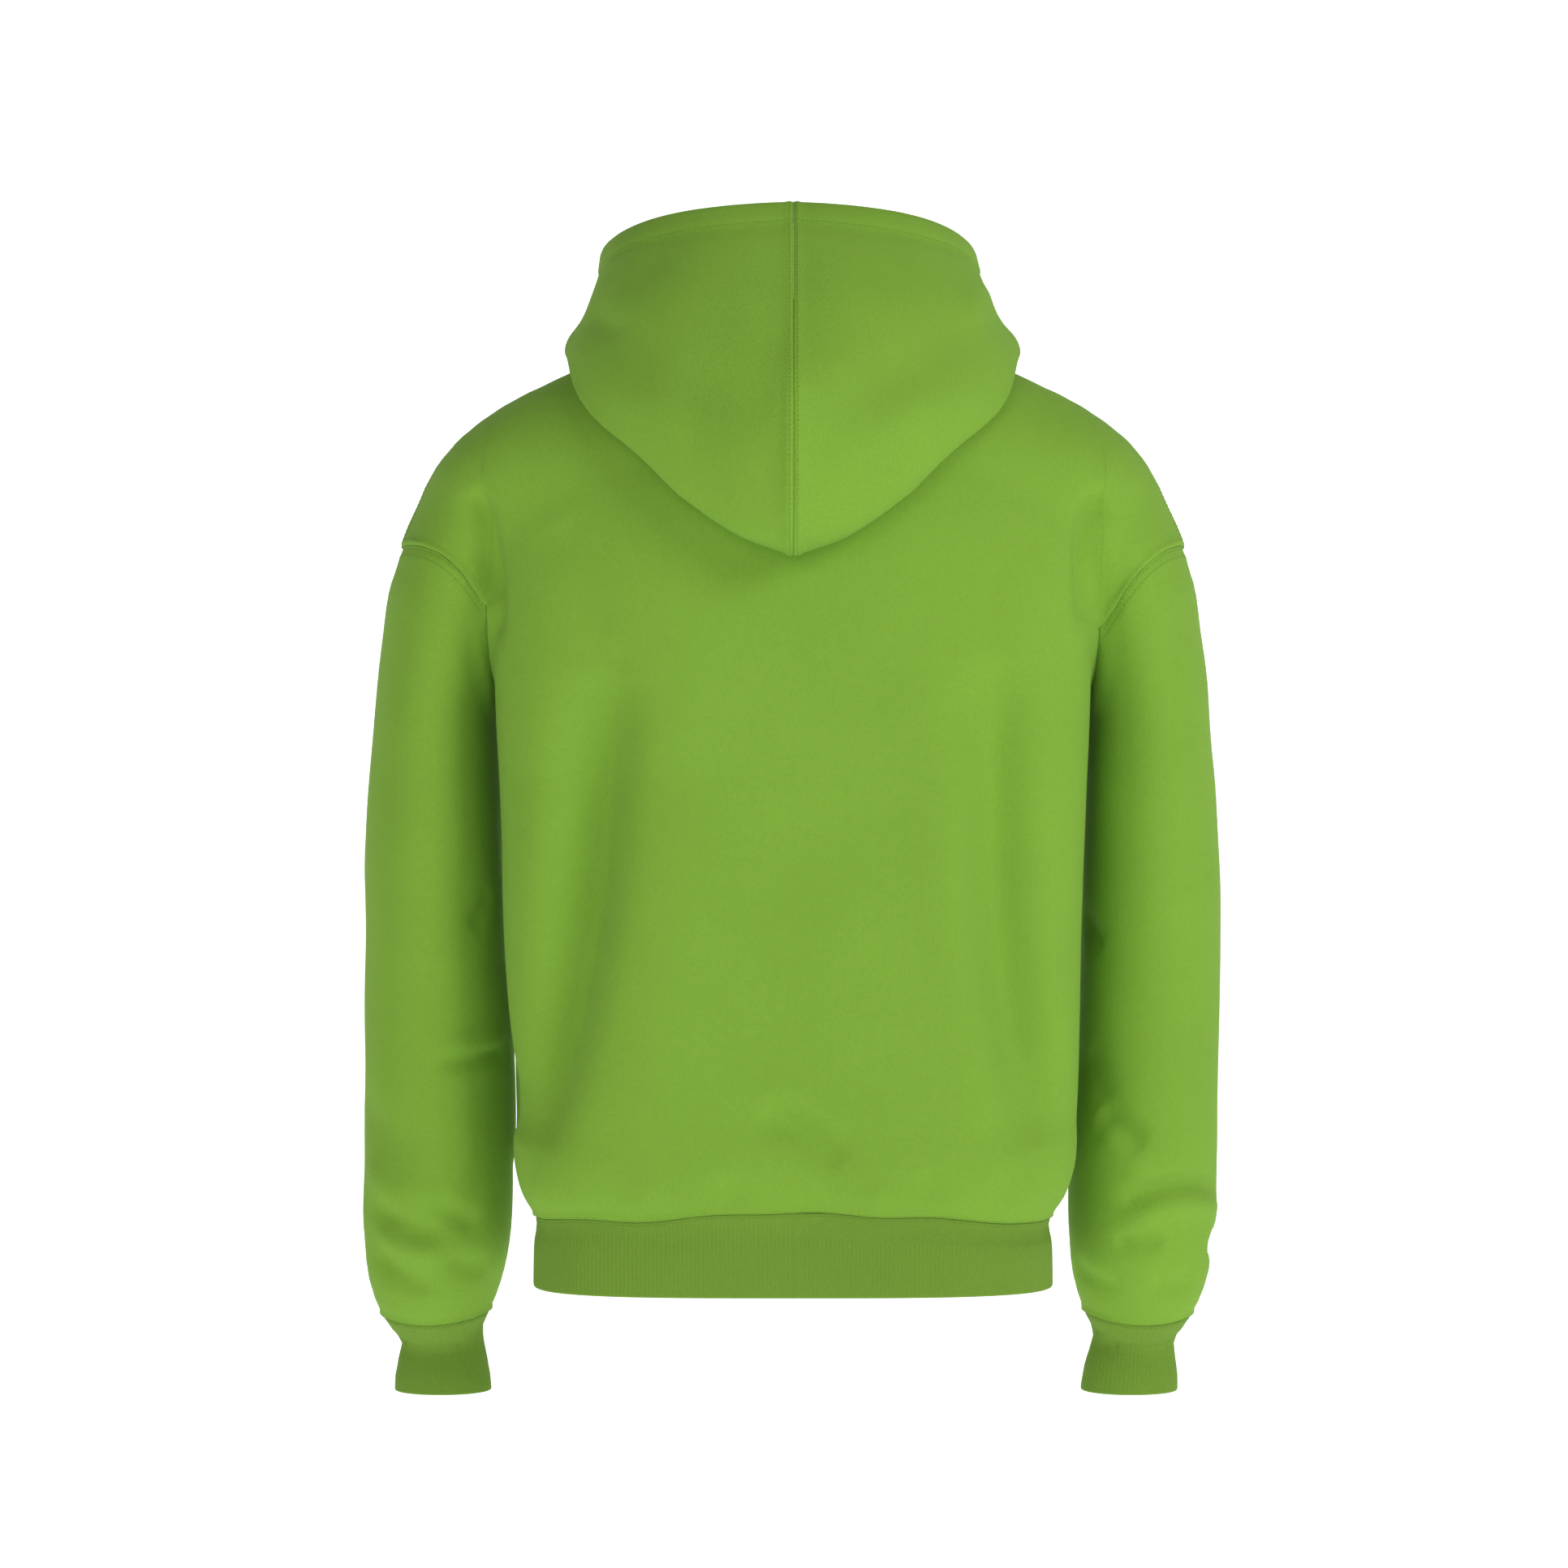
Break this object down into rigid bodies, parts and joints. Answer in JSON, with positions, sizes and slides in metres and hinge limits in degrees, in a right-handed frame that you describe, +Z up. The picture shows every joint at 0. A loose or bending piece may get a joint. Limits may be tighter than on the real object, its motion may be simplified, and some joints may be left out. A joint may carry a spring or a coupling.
{
  "type": "pullover hoodie",
  "caption": "Green fleece pullover hoodie filled out as worn, hood down behind, sleeves hanging, ribbed hem and cuffs.",
  "frame": {"origin": "middle of the neck at shoulder level, where the wearer carries the garment", "axes": "+Z up; the garment's front faces -Y, its back and hood +Y, and the wearer's left is +X"},
  "size_m": [0.643, 0.31, 0.8733],
  "materials": {
    "back_panel": "soft matt fleece",
    "front_panel": "soft matt fleece",
    "sleeve_left": "soft matt fleece",
    "sleeve_right": "soft matt fleece",
    "hood_left": "soft matt fleece",
    "hood_right": "soft matt fleece",
    "hem_rib": "matt ribbed knit",
    "cuff_left": "matt ribbed knit",
    "cuff_right": "matt ribbed knit"
  },
  "bodies": {
    "root": {"back_panel": "back_panel", "front_panel": "front_panel", "sleeve_left": "sleeve_left", "sleeve_right": "sleeve_right", "hood_left": "hood_left", "hood_right": "hood_right", "hem_rib": "hem_rib", "cuff_left": "cuff_left", "cuff_right": "cuff_right"}
  },
  "joints": []
}
